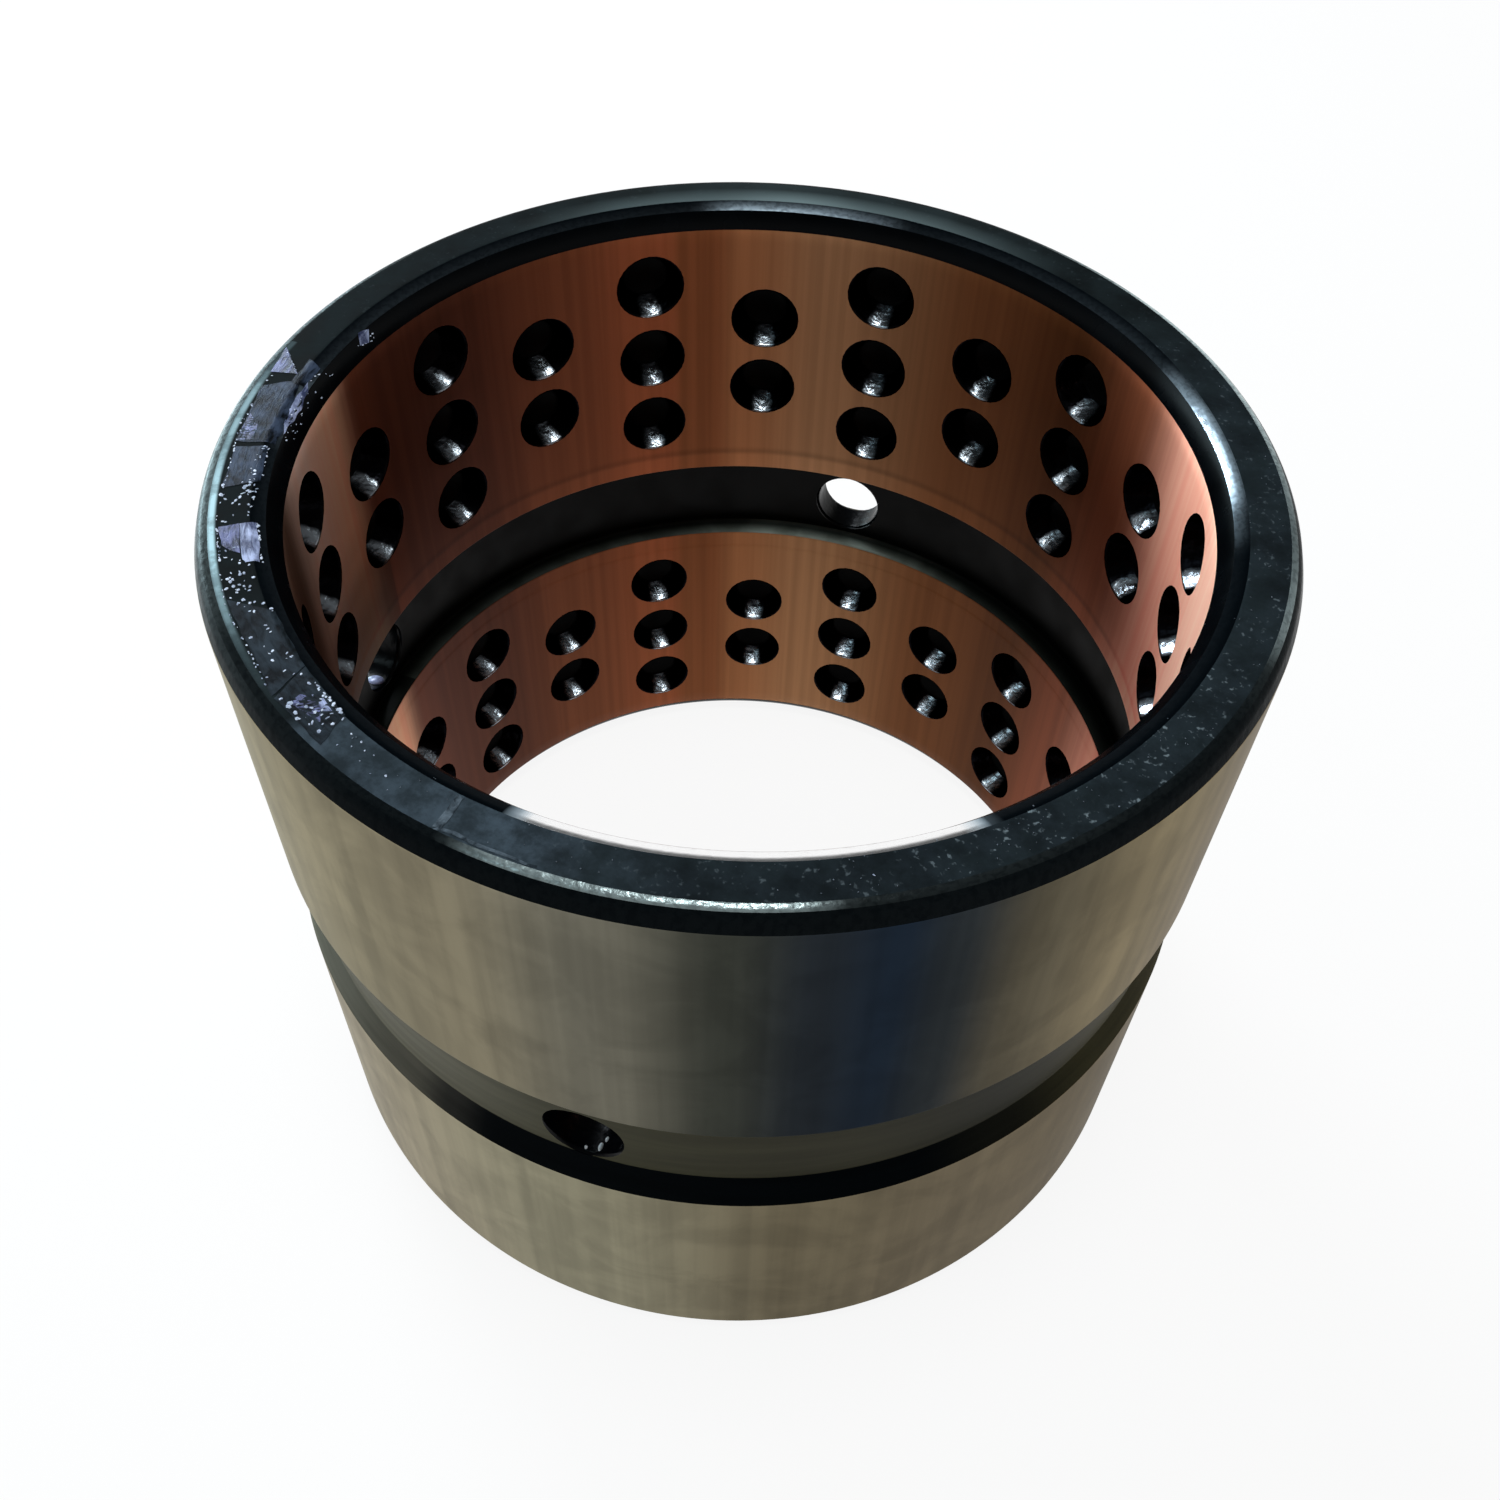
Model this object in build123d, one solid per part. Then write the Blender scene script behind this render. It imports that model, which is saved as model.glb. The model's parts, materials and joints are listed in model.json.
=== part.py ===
from build123d import *
from math import cos, radians, sin, tan
import os

# Grease-pocketed pin bushing, turned from one piece of steel.
# Frame: origin at the centre of the lower end face, +Z along the bore.
# Lengths in millimetres, angles in degrees.

# ---- sleeve ----
bore_d = 80.0             # running bore
wall = 7.5                # bore to outside, so the outside is 95
length = 78.0             # end face to end face
outer_chamfer = 1.5       # 45 degree lead-in on the outside, both ends
bore_chamfer = 1.75       # 45 degree lead-in on the bore, both ends

# ---- outside grease groove: flat floor and shallow sloping flanks ----
outer_groove_w = 15.0     # across the mouth
outer_groove_floor_w = 8.4
outer_groove_depth = 1.5

# ---- bore grease groove: square flanks ----
inner_groove_w = 10.4
inner_groove_depth = 2.2

# ---- radial grease holes that join the two grooves ----
grease_hole_d = 7.5
grease_hole_count = 4
grease_hole_angle = 2.2   # first hole, from +X, where the first short column is

# ---- drilled grease pockets in the two bore lands ----
pocket_w = 7.1            # across flats; each stands for a 7.3 round pocket
pocket_sides = 8          # flats round a pocket, few because pockets are many
pocket_side = 1.0         # straight depth, before the drill point
pocket_point = 118.0      # drill point angle
pocket_columns = 20       # columns round each land, short and long in turn
long_rows = 3             # pockets in a long column
row_pitch = 9.0           # along the axis
land_shift = 0.4          # pocket group towards the end face from mid-land

# ---- derived ----
bore_r = bore_d / 2
outer_r = bore_r + wall
mid = length / 2
column_pitch = 360.0 / pocket_columns
short_rows = long_rows - 1
half_flat = radians(180.0 / pocket_sides)
pocket_r = pocket_w / 2 / cos(half_flat)        # to a corner
pocket_tip = pocket_side + pocket_r / tan(radians(pocket_point / 2))
land_in = mid - bore_chamfer        # a land's end by the rim, from the middle
land_out = inner_groove_w / 2       # a land's end by the groove
land_mid = (land_in + land_out) / 2 + land_shift


def turned(*outline):
    """A ring turned from its outline of (radius, height) corners."""
    face = make_face(Plane.XZ * Polyline(*outline, close=True))
    return revolve(face, Axis.Z)


def rim_edges(body, radius):
    """The circles of one radius at the two end faces."""
    circles = body.edges().filter_by(GeomType.CIRCLE)
    return [e for e in circles if abs(e.radius - radius) < 1e-6]


# Sleeve with its four rim chamfers.
sleeve = Cylinder(outer_r, length, align=(Align.CENTER, Align.CENTER, Align.MIN))
sleeve -= Cylinder(bore_r, length, align=(Align.CENTER, Align.CENTER, Align.MIN))
sleeve = chamfer(rim_edges(sleeve, outer_r), outer_chamfer)
sleeve = chamfer(rim_edges(sleeve, bore_r), bore_chamfer)

# Outside groove, run out past the surface along its own flanks.
flank = (outer_groove_w - outer_groove_floor_w) / 2
half_floor = outer_groove_floor_w / 2
floor_r = outer_r - outer_groove_depth
sleeve -= turned(
    (floor_r, mid - half_floor),
    (floor_r, mid + half_floor),
    (outer_r + outer_groove_depth, mid + half_floor + 2 * flank),
    (outer_r + outer_groove_depth, mid - half_floor - 2 * flank),
)

# Bore groove, cut from a ring that also takes in some of the open bore.
half_mouth = inner_groove_w / 2
groove_r = bore_r + inner_groove_depth
sleeve -= turned(
    (bore_r - inner_groove_depth, mid - half_mouth),
    (groove_r, mid - half_mouth),
    (groove_r, mid + half_mouth),
    (bore_r - inner_groove_depth, mid + half_mouth),
)

# Radial grease holes through the middle of both grooves.
hole = Rot(0, 90, 0) * Cylinder(
    grease_hole_d / 2, 2 * wall, align=(Align.CENTER, Align.CENTER, Align.MIN)
)
holes = [
    Rot(0, 0, grease_hole_angle + n * 360.0 / grease_hole_count)
    * Pos(bore_r - wall / 2, 0, mid)
    * hole
    for n in range(grease_hole_count)
]

def corners(x):
    """Corners of a pocket at one depth, with flats level and upright."""
    turns = [(2 * n + 1) * half_flat for n in range(pocket_sides)]
    return [Vector(x, pocket_r * cos(turn), pocket_r * sin(turn)) for turn in turns]


# One pocket's cutter, lying along +X with the bore wall at X = 0. Its flats
# and drill point are plane faces, which keeps a hundred pockets light.
start = corners(-pocket_r)
shoulder = corners(pocket_side)
tip = Vector(pocket_tip, 0, 0)
outlines = [start]
for n in range(pocket_sides):
    outlines.append([start[n - 1], start[n], shoulder[n], shoulder[n - 1]])
    outlines.append([shoulder[n - 1], shoulder[n], tip])
cutter = Solid(Shell([Face(Wire.make_polygon(outline)) for outline in outlines]))

# Pockets: short and long columns in turn, the same in both lands.
pockets = []
for column in range(pocket_columns):
    rows = short_rows if column % 2 == 0 else long_rows
    for land in (-1, 1):
        for row in range(rows):
            rise = (row - (rows - 1) / 2) * row_pitch
            place = Rot(0, 0, column * column_pitch) * Pos(bore_r, 0, mid + land * land_mid + rise)
            pockets.append(place * cutter)

bushing = sleeve - (holes + pockets)

os.makedirs("parts", exist_ok=True)
export_step(bushing, "parts/bushing.step")

print(f"outside diameter {2 * outer_r:.2f}, bore {bore_d:.2f}, length {length:.2f}")
print(f"{len(pockets)} pockets, each {pocket_tip:.2f} deep in a wall of {wall:.2f}")
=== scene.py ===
import json
import random
from math import atan2, cos, hypot, pi, radians, sin, tan

import bmesh
import bpy
from mathutils import Matrix, Vector, noise


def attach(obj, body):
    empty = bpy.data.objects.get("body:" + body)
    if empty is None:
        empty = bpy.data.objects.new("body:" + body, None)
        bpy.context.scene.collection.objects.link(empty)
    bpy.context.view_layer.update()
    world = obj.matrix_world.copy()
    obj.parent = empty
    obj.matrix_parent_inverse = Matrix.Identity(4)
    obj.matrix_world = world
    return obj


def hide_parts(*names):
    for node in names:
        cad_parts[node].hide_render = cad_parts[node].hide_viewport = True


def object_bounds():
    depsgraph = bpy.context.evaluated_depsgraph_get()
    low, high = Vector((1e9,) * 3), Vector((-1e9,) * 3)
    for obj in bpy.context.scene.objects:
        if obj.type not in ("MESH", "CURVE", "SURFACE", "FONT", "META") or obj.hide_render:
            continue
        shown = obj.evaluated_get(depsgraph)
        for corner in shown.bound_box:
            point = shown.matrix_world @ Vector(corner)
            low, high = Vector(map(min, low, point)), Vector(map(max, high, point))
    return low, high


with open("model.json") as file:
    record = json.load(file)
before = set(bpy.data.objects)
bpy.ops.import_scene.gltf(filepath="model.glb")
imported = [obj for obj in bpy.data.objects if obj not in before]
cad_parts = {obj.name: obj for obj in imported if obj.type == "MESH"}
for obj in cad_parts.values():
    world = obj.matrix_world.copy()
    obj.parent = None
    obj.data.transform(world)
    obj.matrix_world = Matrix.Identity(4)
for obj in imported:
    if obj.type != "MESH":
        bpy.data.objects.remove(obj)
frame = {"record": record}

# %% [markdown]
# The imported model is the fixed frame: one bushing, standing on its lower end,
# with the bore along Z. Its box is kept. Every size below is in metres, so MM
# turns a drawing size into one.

MM = 0.001
NODE = "bushing"
cad_low, cad_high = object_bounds()
bore_r = frame["record"]["mounts"][0]["dims"]["r_mm"] * MM
outer_r = min(cad_high.x, -cad_low.x, cad_high.y, -cad_low.y)
height = cad_high.z
mid = height / 2
wall = outer_r - bore_r
print(f"bore {bore_r / MM:.2f}, outside {outer_r / MM:.2f}, height {height / MM:.2f}")

# %% [markdown]
# The camera stands close in front of the bushing and looks steeply down into
# the bore. Three angles in its panel are easy to mix up, so three turns are
# multiplied instead: a slight roll, the tilt from level, the turn about Z.

# %% The camera
camera_place = Vector((32.78, -95.13, 160.29)) * MM
camera_pitch = radians(50.345)
camera_yaw = radians(-18.604)
camera_roll = radians(2.332)

bpy.ops.object.camera_add()
camera = bpy.context.object
camera.name = "camera"
camera.data.sensor_width = 36.0
camera.data.lens = 35.51
camera.data.clip_start = 5 * MM
turn = Matrix.Rotation(-camera_yaw, 4, "Z")
tilt = Matrix.Rotation(pi / 2 - camera_pitch, 4, "X")
roll = Matrix.Rotation(camera_roll, 4, "Z")
camera.matrix_world = Matrix.Translation(camera_place) @ turn @ tilt @ roll
bpy.context.scene.camera = camera
print("camera looks along", tuple(round(c, 3) for c in -(turn @ tilt @ roll).col[2].xyz))

# %% [markdown]
# A few helpers keep the modelling short. An operator acts on all that is
# selected, so each piece is put alone before work starts on it, and the
# vertices, edges or faces to work on are picked by where they lie.

# %% Helpers for modelling
merge_gap = 0.004 * MM


def alone(*pieces):
    """Selects these pieces alone, and makes the first one active."""
    bpy.ops.object.select_all(action="DESELECT")
    for piece in pieces:
        piece.select_set(True)
    bpy.context.view_layer.objects.active = pieces[0]


def edit_all(piece):
    """Opens a piece in edit mode, with all its vertices selected."""
    alone(piece)
    bpy.ops.object.mode_set(mode="EDIT")
    bpy.ops.mesh.select_mode(type="VERT")
    bpy.ops.mesh.select_all(action="SELECT")


def start(name, primitive, **sizes):
    """Adds a primitive under a name and opens it in edit mode."""
    primitive(**sizes)
    piece = bpy.context.object
    piece.name = name
    edit_all(piece)
    return piece


def finish_edit():
    bpy.ops.object.mode_set(mode="OBJECT")


def pick(piece, kind, test):
    """In edit mode, selects the parts of one kind whose middle passes a test."""
    bpy.ops.mesh.select_mode(type=kind)
    bpy.ops.mesh.select_all(action="DESELECT")
    mesh = bmesh.from_edit_mesh(piece.data)
    for part in {"VERT": mesh.verts, "EDGE": mesh.edges, "FACE": mesh.faces}[kind]:
        corners = [part] if kind == "VERT" else part.verts
        if test(sum((corner.co for corner in corners), Vector()) / len(corners)):
            part.select_set(True)
    mesh.select_flush_mode()
    bmesh.update_edit_mesh(piece.data)


def copy_of(piece):
    """A copy of a piece with its own mesh, left selected."""
    alone(piece)
    bpy.ops.object.duplicate()
    return bpy.context.object


def apply(piece, kind, **settings):
    """Adds a modifier with its settings and applies it."""
    alone(piece)
    modifier = piece.modifiers.new(kind.lower(), kind)
    for key, value in settings.items():
        setattr(modifier, key, value)
    bpy.ops.object.modifier_apply(modifier=modifier.name)


def weld(piece):
    """Merges vertices that lie together."""
    edit_all(piece)
    bpy.ops.mesh.remove_doubles(threshold=merge_gap)
    finish_edit()


def measure(piece):
    """Prints how many faces a piece has, and whether it is closed."""
    check = bmesh.new()
    check.from_mesh(piece.data)
    open_edges = sum(not edge.is_manifold for edge in check.edges)
    print(f"{piece.name}: {len(check.faces)} faces, {open_edges} open edges, "
          f"volume {check.calc_volume() / MM ** 3:.0f} mm3")
    check.free()


# %% [markdown]
# The bore has a hundred grease pockets. Cutting each with a boolean leaves
# ragged faces round it, so one pocket is modelled as a flat tile: a square frame
# of edges, a circle, a bridge between the two, and the circle pulled down ring
# by ring. The rings follow a small rounded lip, a tapered wall, a rounded corner
# and the shallow point that a drill leaves.

# %% One pocket tile
turn_steps = 240
cells_across = 8
cells_up = 6
cell_w = 2 * pi * bore_r / turn_steps
cell_h = 1.5 * MM
pocket_mouth = 3.72 * MM
pocket_lip = 0.30 * MM
wall_slope = radians(66)
deep_slope = radians(59)
floor_slope = radians(20)
middle_r = 2.9 * MM
floor_r = 2.3 * MM
corner_r = 0.5 * MM
bend_rings = 3

tile = start("pocket_tile", bpy.ops.mesh.primitive_grid_add,
             x_subdivisions=cells_across, y_subdivisions=cells_up, size=1)
bpy.ops.transform.resize(value=(cells_across * cell_w, cells_up * cell_h, 1))
bpy.ops.mesh.region_to_loop()
bpy.ops.mesh.select_mode(type="VERT")
bpy.ops.mesh.select_all(action="INVERT")
bpy.ops.mesh.delete(type="VERT")
bpy.ops.mesh.primitive_circle_add(vertices=2 * (cells_across + cells_up), radius=pocket_mouth)
bpy.ops.mesh.select_all(action="SELECT")
bpy.ops.mesh.bridge_edge_loops()
pick(tile, "EDGE", lambda p: hypot(p.x, p.y) < pocket_mouth)
print(f"flat tile: {cells_across * cell_w / MM:.2f} by {cells_up * cell_h / MM:.2f}")

# %% Pulling the pocket down
rings = []
for n in range(1, bend_rings + 1):
    bend = wall_slope * n / bend_rings
    rings.append((pocket_mouth - pocket_lip * sin(bend), pocket_lip * (1 - cos(bend))))
lip_end, lip_depth = rings[-1]
middle_depth = lip_depth + (lip_end - middle_r) * tan(wall_slope)
wall_depth = middle_depth + (middle_r - floor_r) * tan(deep_slope)
rings.append((middle_r, middle_depth))
rings.append((floor_r, wall_depth))
for n in range(1, bend_rings + 1):
    bend = deep_slope + (floor_slope - deep_slope) * n / bend_rings
    rings.append((floor_r - corner_r * (sin(deep_slope) - sin(bend)),
                  wall_depth + corner_r * (cos(bend) - cos(deep_slope))))
rings.append((0, rings[-1][1] + rings[-1][0] * tan(floor_slope)))
reach, depth = pocket_mouth, 0.0
for ring_r, ring_depth in rings:
    drop = (0, 0, depth - ring_depth)
    bpy.ops.mesh.extrude_region_move(TRANSFORM_OT_translate={"value": drop})
    if ring_r > 0:
        scale = ring_r / reach
        bpy.ops.transform.resize(value=(scale, scale, 1), center_override=(0, 0, -ring_depth))
    else:
        bpy.ops.mesh.merge(type="CENTER")
    reach, depth = ring_r, ring_depth
finish_edit()
print(f"pocket tile: {len(tile.data.polygons)} faces, {depth / MM:.2f} deep")

# %% [markdown]
# Round the bore the pockets stand in twenty columns, of two and three in turn.
# Two columns make a strip that repeats: a plain grid, with a tile in place of
# the cells that each pocket covers. Tiles and grid share their outer vertices,
# so a merge makes them one.

# %% A strip of two columns
columns = 20
rows_short, rows_long = 2, 3
strip_cells = 2 * turn_steps // columns
land_cells = rows_long * cells_up
row_pitch = cells_up * cell_h
land_middle = 21.625 * MM

strip = start("land_ring", bpy.ops.mesh.primitive_grid_add,
              x_subdivisions=strip_cells, y_subdivisions=land_cells, size=1)
bpy.ops.transform.resize(value=(strip_cells * cell_w, land_cells * cell_h, 1))
centres = []
for side, rows in ((-1, rows_short), (1, rows_long)):
    for row in range(rows):
        centres.append((side * strip_cells / 4 * cell_w, (row - (rows - 1) / 2) * row_pitch))
half_w, half_h = cells_across * cell_w / 2, row_pitch / 2
pick(strip, "FACE", lambda p: any(abs(p.x - x) < half_w and abs(p.y - y) < half_h
                                  for x, y in centres))
bpy.ops.mesh.delete(type="FACE")
finish_edit()
copies = []
for x, y in centres:
    copies.append(copy_of(tile))
    copies[-1].location = (x, y, 0)
bpy.data.objects.remove(tile)
alone(strip, *copies)
bpy.ops.object.join()
bpy.ops.object.transform_apply()
weld(strip)
print(f"strip of two columns: {len(strip.data.polygons)} faces")

# %% [markdown]
# An array lays ten strips end to end, and a bend of a full turn rolls them into
# the wall, with the pockets outwards. Both bore lands are this ring: the lower
# one is a mirrored copy.

# %% Rolling the rings of pockets
strips = columns // 2
column_turn = 2 * pi / columns
edit_all(strip)
bpy.ops.transform.rotate(value=pi / 2, orient_axis="X", center_override=(0, 0, 0))
finish_edit()
apply(strip, "ARRAY", count=strips, use_merge_vertices=True, merge_threshold=merge_gap)
strip.location.x = -(strips - 1) / 2 * strip_cells * cell_w
bpy.ops.object.transform_apply()
apply(strip, "SIMPLE_DEFORM", deform_method="BEND", deform_axis="Z", angle=2 * pi)
strip.location = (0, -bore_r, 0)
bpy.ops.object.transform_apply()
strip.rotation_euler.z = column_turn / 2
strip.location.z = mid + land_middle
bpy.ops.object.transform_apply()
weld(strip)
far = max(vertex.co.xy.length for vertex in strip.data.vertices)
print(f"ring of pockets: {len(strip.data.polygons)} faces, deepest {far / MM:.2f}")

lower_ring = copy_of(strip)
lower_ring.scale.z = -1
lower_ring.location.z = height
bpy.ops.object.transform_apply()

# %% [markdown]
# The rest of the sleeve is turned, as on a lathe. Cylinders and chamfers could
# make it too, but an outline shows the whole profile in one place. It is drawn
# with one vertex that is extruded from corner to corner, a vertex bevel rounds
# each corner, and a spin turns it.

# %% Turning an outline
def turned(name, corners):
    """Draws an outline of (radius, height, rounding) corners and spins it."""
    piece = start(name, bpy.ops.mesh.primitive_plane_add, size=MM)
    bpy.ops.mesh.merge(type="CENTER")
    radius, level, _ = corners[0]
    bpy.ops.transform.translate(value=(radius, 0, level))
    for next_radius, next_level, _ in corners[1:]:
        step = (next_radius - radius, 0, next_level - level)
        bpy.ops.mesh.extrude_region_move(TRANSFORM_OT_translate={"value": step})
        radius, level = next_radius, next_level
    for radius, level, rounding in corners:
        if rounding:
            spot = Vector((radius, 0, level))
            pick(piece, "VERT", lambda p: (p - spot).length < 0.01 * MM)
            bpy.ops.mesh.bevel(offset=rounding, segments=3, affect="VERTICES")
    bpy.ops.mesh.select_all(action="SELECT")
    bpy.ops.mesh.spin(steps=turn_steps, angle=2 * pi, center=(0, 0, 0), axis=(0, 0, 1))
    finish_edit()
    print(f"{name}: {len(piece.data.polygons)} faces")
    return piece


# %% [markdown]
# One outline goes round the outside and over both ends, from bore land to bore
# land. Each rim has a shallow facet and a steeper lead-in. The upper land is a
# little slimmer towards its rim, which helps the bushing into its seat, and the
# mouth of the grease groove is nearer the middle there than below.

# %% The outside
outer_groove_half = 7.5 * MM
outer_groove_top = 6.8 * MM
outer_floor_half = 4.2 * MM
outer_groove_depth = 1.5 * MM
lead = 0.4 * MM
film_room = 0.06 * MM       # kept free at the top for the dried film

# Corners of the rims in MM: inward from the wall, below the end face, rounding.
bore_rim = ((0, 2.1, 0), (1.05, 0.47, 0.03), (2.05, 0, 0.4))
outer_rim = ((1.85, 0, 0.12), (1.4, 0.15, 0.15), (0.85, 0.66, 0.3), (0, 1.9, 0.1))
ring_end = land_middle + land_cells * cell_h / 2
ring_start = land_middle - land_cells * cell_h / 2


def outside_half(side, end, ease, mouth):
    """Corners from a land's outer edge to the groove floor, on one side of the middle.
    Ease is how much slimmer the outside is at the rim, and mouth is where the groove
    starts."""
    corners = [(bore_r, mid + side * ring_end, 0)]
    for inset, drop, rounding in bore_rim:
        corners.append((bore_r + inset * MM, end - side * drop * MM, rounding * MM))
    for inset, drop, rounding in outer_rim:
        corners.append((outer_r - max(inset * MM, ease), end - side * drop * MM, rounding * MM))
    corners.append((outer_r - lead / 2, mid + side * mouth, 0.04 * MM))
    corners.append((outer_r - outer_groove_depth, mid + side * outer_floor_half, 0.15 * MM))
    return corners


upper = outside_half(1, height - film_room, lead, outer_groove_top)
lower = outside_half(-1, 0, 0, outer_groove_half)
outside = turned("outside", upper + lower[::-1])

# %% [markdown]
# A short outline makes the square grease groove of the bore. On each side of it
# the land steps back by a few hundredths, which shows as a fine line.

# %% The bore groove
inner_groove_half = 5.2 * MM
inner_groove_depth = 2.2 * MM
relief_half = 7.5 * MM
relief_depth = 0.04 * MM

groove_half = [
    (bore_r, mid + ring_start, 0),
    (bore_r, mid + relief_half, 0),
    (bore_r + relief_depth, mid + relief_half - 0.1 * MM, 0),
    (bore_r + relief_depth, mid + inner_groove_half, 0.25 * MM),
    (bore_r + inner_groove_depth, mid + inner_groove_half, 0.3 * MM),
]
groove_mirror = [(radius, height - level, rounding) for radius, level, rounding in groove_half]
groove = turned("bore_groove", groove_half + groove_mirror[::-1])

# %% [markdown]
# The two rings and the two turned parts meet at the same vertices, because all
# have 240 steps. Joined and merged they are one closed sleeve, and its normals
# are then turned outwards.

# %% Joining the sleeve
body = outside
alone(body, groove, strip, lower_ring)
bpy.ops.object.join()
body.name = "bushing_body"
weld(body)
edit_all(body)
bpy.ops.mesh.normals_make_consistent(inside=False)
finish_edit()
measure(body)

# %% [markdown]
# Four radial holes join the two grooves. They are drilled last, with a boolean:
# the cutter is a cylinder with flared ends, which leaves a broken edge where
# each hole meets a groove floor. The holes lie a little below the middle, and a
# little off the columns of pockets.

# %% Grease holes
hole_r = 3.75 * MM
hole_flare = 0.2 * MM
hole_turn = 2.7
hole_level = mid - 0.45 * MM
hole_count = 4
hole_steps = 32
inner_mouth = bore_r + inner_groove_depth
outer_mouth = outer_r - outer_groove_depth
straight = outer_mouth - inner_mouth - 4 * hole_flare

drill = start("drill", bpy.ops.mesh.primitive_cylinder_add, vertices=hole_steps,
              radius=hole_r, depth=straight, end_fill_type="NGON")
for end in (-1, 1):
    level = end * straight / 2
    pick(drill, "FACE", lambda p: abs(p.z - level) < 0.01 * MM)
    reach = hole_r
    for grow, rise in ((0.25, 0.8), (0.75, 0.8), (0, 10)):
        step = (0, 0, end * rise * hole_flare)
        level += step[2]
        bpy.ops.mesh.extrude_region_move(TRANSFORM_OT_translate={"value": step})
        wider = reach + grow * hole_flare
        scale = wider / reach
        bpy.ops.transform.resize(value=(scale, scale, 1), center_override=(0, 0, level))
        reach = wider
finish_edit()
drill.rotation_euler.y = pi / 2
drill.location.x = (inner_mouth + outer_mouth) / 2
bpy.ops.object.transform_apply()
drills = [drill]
for n in range(1, hole_count):
    drills.append(copy_of(drill))
    drills[-1].rotation_euler.z = n * 2 * pi / hole_count
alone(*drills)
bpy.ops.object.join()
drill.rotation_euler.z = radians(hole_turn)
drill.location.z = hole_level
bpy.ops.object.transform_apply()
apply(body, "BOOLEAN", object=drill, operation="DIFFERENCE", solver="EXACT")
bpy.data.objects.remove(drill)
measure(body)

# %% [markdown]
# Smooth shading blends the normals of small facets, so that the turned faces
# look round. Edges sharper than the angle stay crisp, and weighted normals keep
# the large faces flat next to a small rounding.

# %% Smooth shading
alone(body)
bpy.ops.object.shade_smooth_by_angle(angle=radians(40))
apply(body, "WEIGHTED_NORMAL", keep_sharp=True, weight=80)
print(f"{body.name}: {len(body.data.vertices)} vertices, shaded smooth")

# %% [markdown]
# The sleeve carries several finishes: ground steel outside, a copper coat in
# the bore, black oxide elsewhere, and oil in the outside groove. Each is a
# material on the one mesh, so no seam shows where two meet. These helpers add
# and wire its nodes as one would by hand. All patterns start from Object
# coordinates, which stay with the piece.

# %% Helpers for finishes
def add(kind, inputs=None, **settings):
    """A node with its settings, and its inputs set or linked by name or number."""
    made = tree.nodes.new("ShaderNode" + kind)
    for key, value in settings.items():
        setattr(made, key, value)
    for key, value in (inputs or {}).items():
        if isinstance(value, bpy.types.NodeSocket):
            tree.links.new(value, made.inputs[key])
        else:
            made.inputs[key].default_value = value
    return made


def blank_finish(name):
    """Starts a material. The helpers work on its tree until the next one starts."""
    global tree, shader, place
    made = bpy.data.materials.new(name)
    made.use_nodes = True
    tree = made.node_tree
    shader = tree.nodes["Principled BSDF"]
    place = add("TexCoord").outputs["Object"]
    return made


def dress(base, values):
    """Links the base colour and sets the shader's own values."""
    tree.links.new(base, shader.inputs["Base Color"])
    for key, value in values.items():
        shader.inputs[key].default_value = value


def paint(red, green, blue):
    """A colour as it reads on a screen, from 0 to 255, made linear."""
    def linear(level):
        level /= 255
        return level / 12.92 if level <= 0.04045 else ((level + 0.055) / 1.055) ** 2.4
    return (linear(red), linear(green), linear(blue), 1)


def grey(level):
    return (level, level, level, 1)


def calc(operation, *values):
    """The result of a sum."""
    return add("Math", dict(enumerate(values)), operation=operation).outputs[0]


def mix(factor, first, second, blend="MIX"):
    return add("Mix", {0: factor, 6: first, 7: second}, data_type="RGBA",
               blend_type=blend).outputs[2]


def cloud_at(point, scale, detail, roughness=0.5, distortion=0.0):
    """Noise from 0 to 1, at a scale per metre."""
    return add("TexNoise", {
        "Vector": point, "Scale": scale, "Detail": detail, "Roughness": roughness,
        "Distortion": distortion}).outputs["Fac"]


def ramp(factor, *stops, smooth="EASE"):
    """A colour ramp through (place, colour) stops. A single number is a grey."""
    made = add("ValToRGB", {"Fac": factor})
    made.color_ramp.interpolation = smooth
    elements = made.color_ramp.elements
    while len(elements) < len(stops):
        elements.new(0.5)
    for element, (place, colour) in zip(elements, stops):
        element.position = place
        element.color = grey(colour) if isinstance(colour, (int, float)) else colour
    return made.outputs["Color"]


def bump(pattern, depth, strength):
    made = add("Bump", {"Height": pattern, "Strength": strength, "Distance": depth})
    tree.links.new(made.outputs[0], shader.inputs["Normal"])


# %% [markdown]
# Wear and tone change with the place on the sleeve, so the next helpers measure
# the turn round the bore, the level and the radius. A ramp over the turn then
# gives each side its own colour or share of wear.

# %% Measures round the bore
def turn_round():
    """How far round the bore a point lies, from 0 to 1, starting at -X."""
    split = add("SeparateXYZ", {0: place}).outputs
    return calc("MULTIPLY_ADD", calc("ARCTAN2", split["Y"], split["X"]), 1 / (2 * pi), 0.5)


def level_of(point):
    return add("SeparateXYZ", {0: point}).outputs["Z"]


def radius_out():
    """How far a point lies from the bore axis."""
    flat = add("VectorMath", {0: place, 1: (1, 1, 0)}, operation="MULTIPLY").outputs[0]
    return add("VectorMath", {0: flat}, operation="LENGTH").outputs["Value"]


def share_round(*stops):
    """A share that follows stops round the bore, each (degrees from +X, share)."""
    return ramp(turn_round(), *(((turn / 360 + 0.5) % 1, share) for turn, share in stops))


def paint_round(*stops):
    """A colour that follows (degrees, red, green, blue) stops round the bore."""
    return share_round(*((turn, paint(*levels)) for turn, *levels in stops))


def share_outward(near, far):
    """A share that changes evenly between two (radius in MM, share) places."""
    return add("MapRange", {
        "Value": radius_out(), "From Min": near[0] * MM, "From Max": far[0] * MM,
        "To Min": near[1], "To Max": far[1]}).outputs[0]


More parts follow.
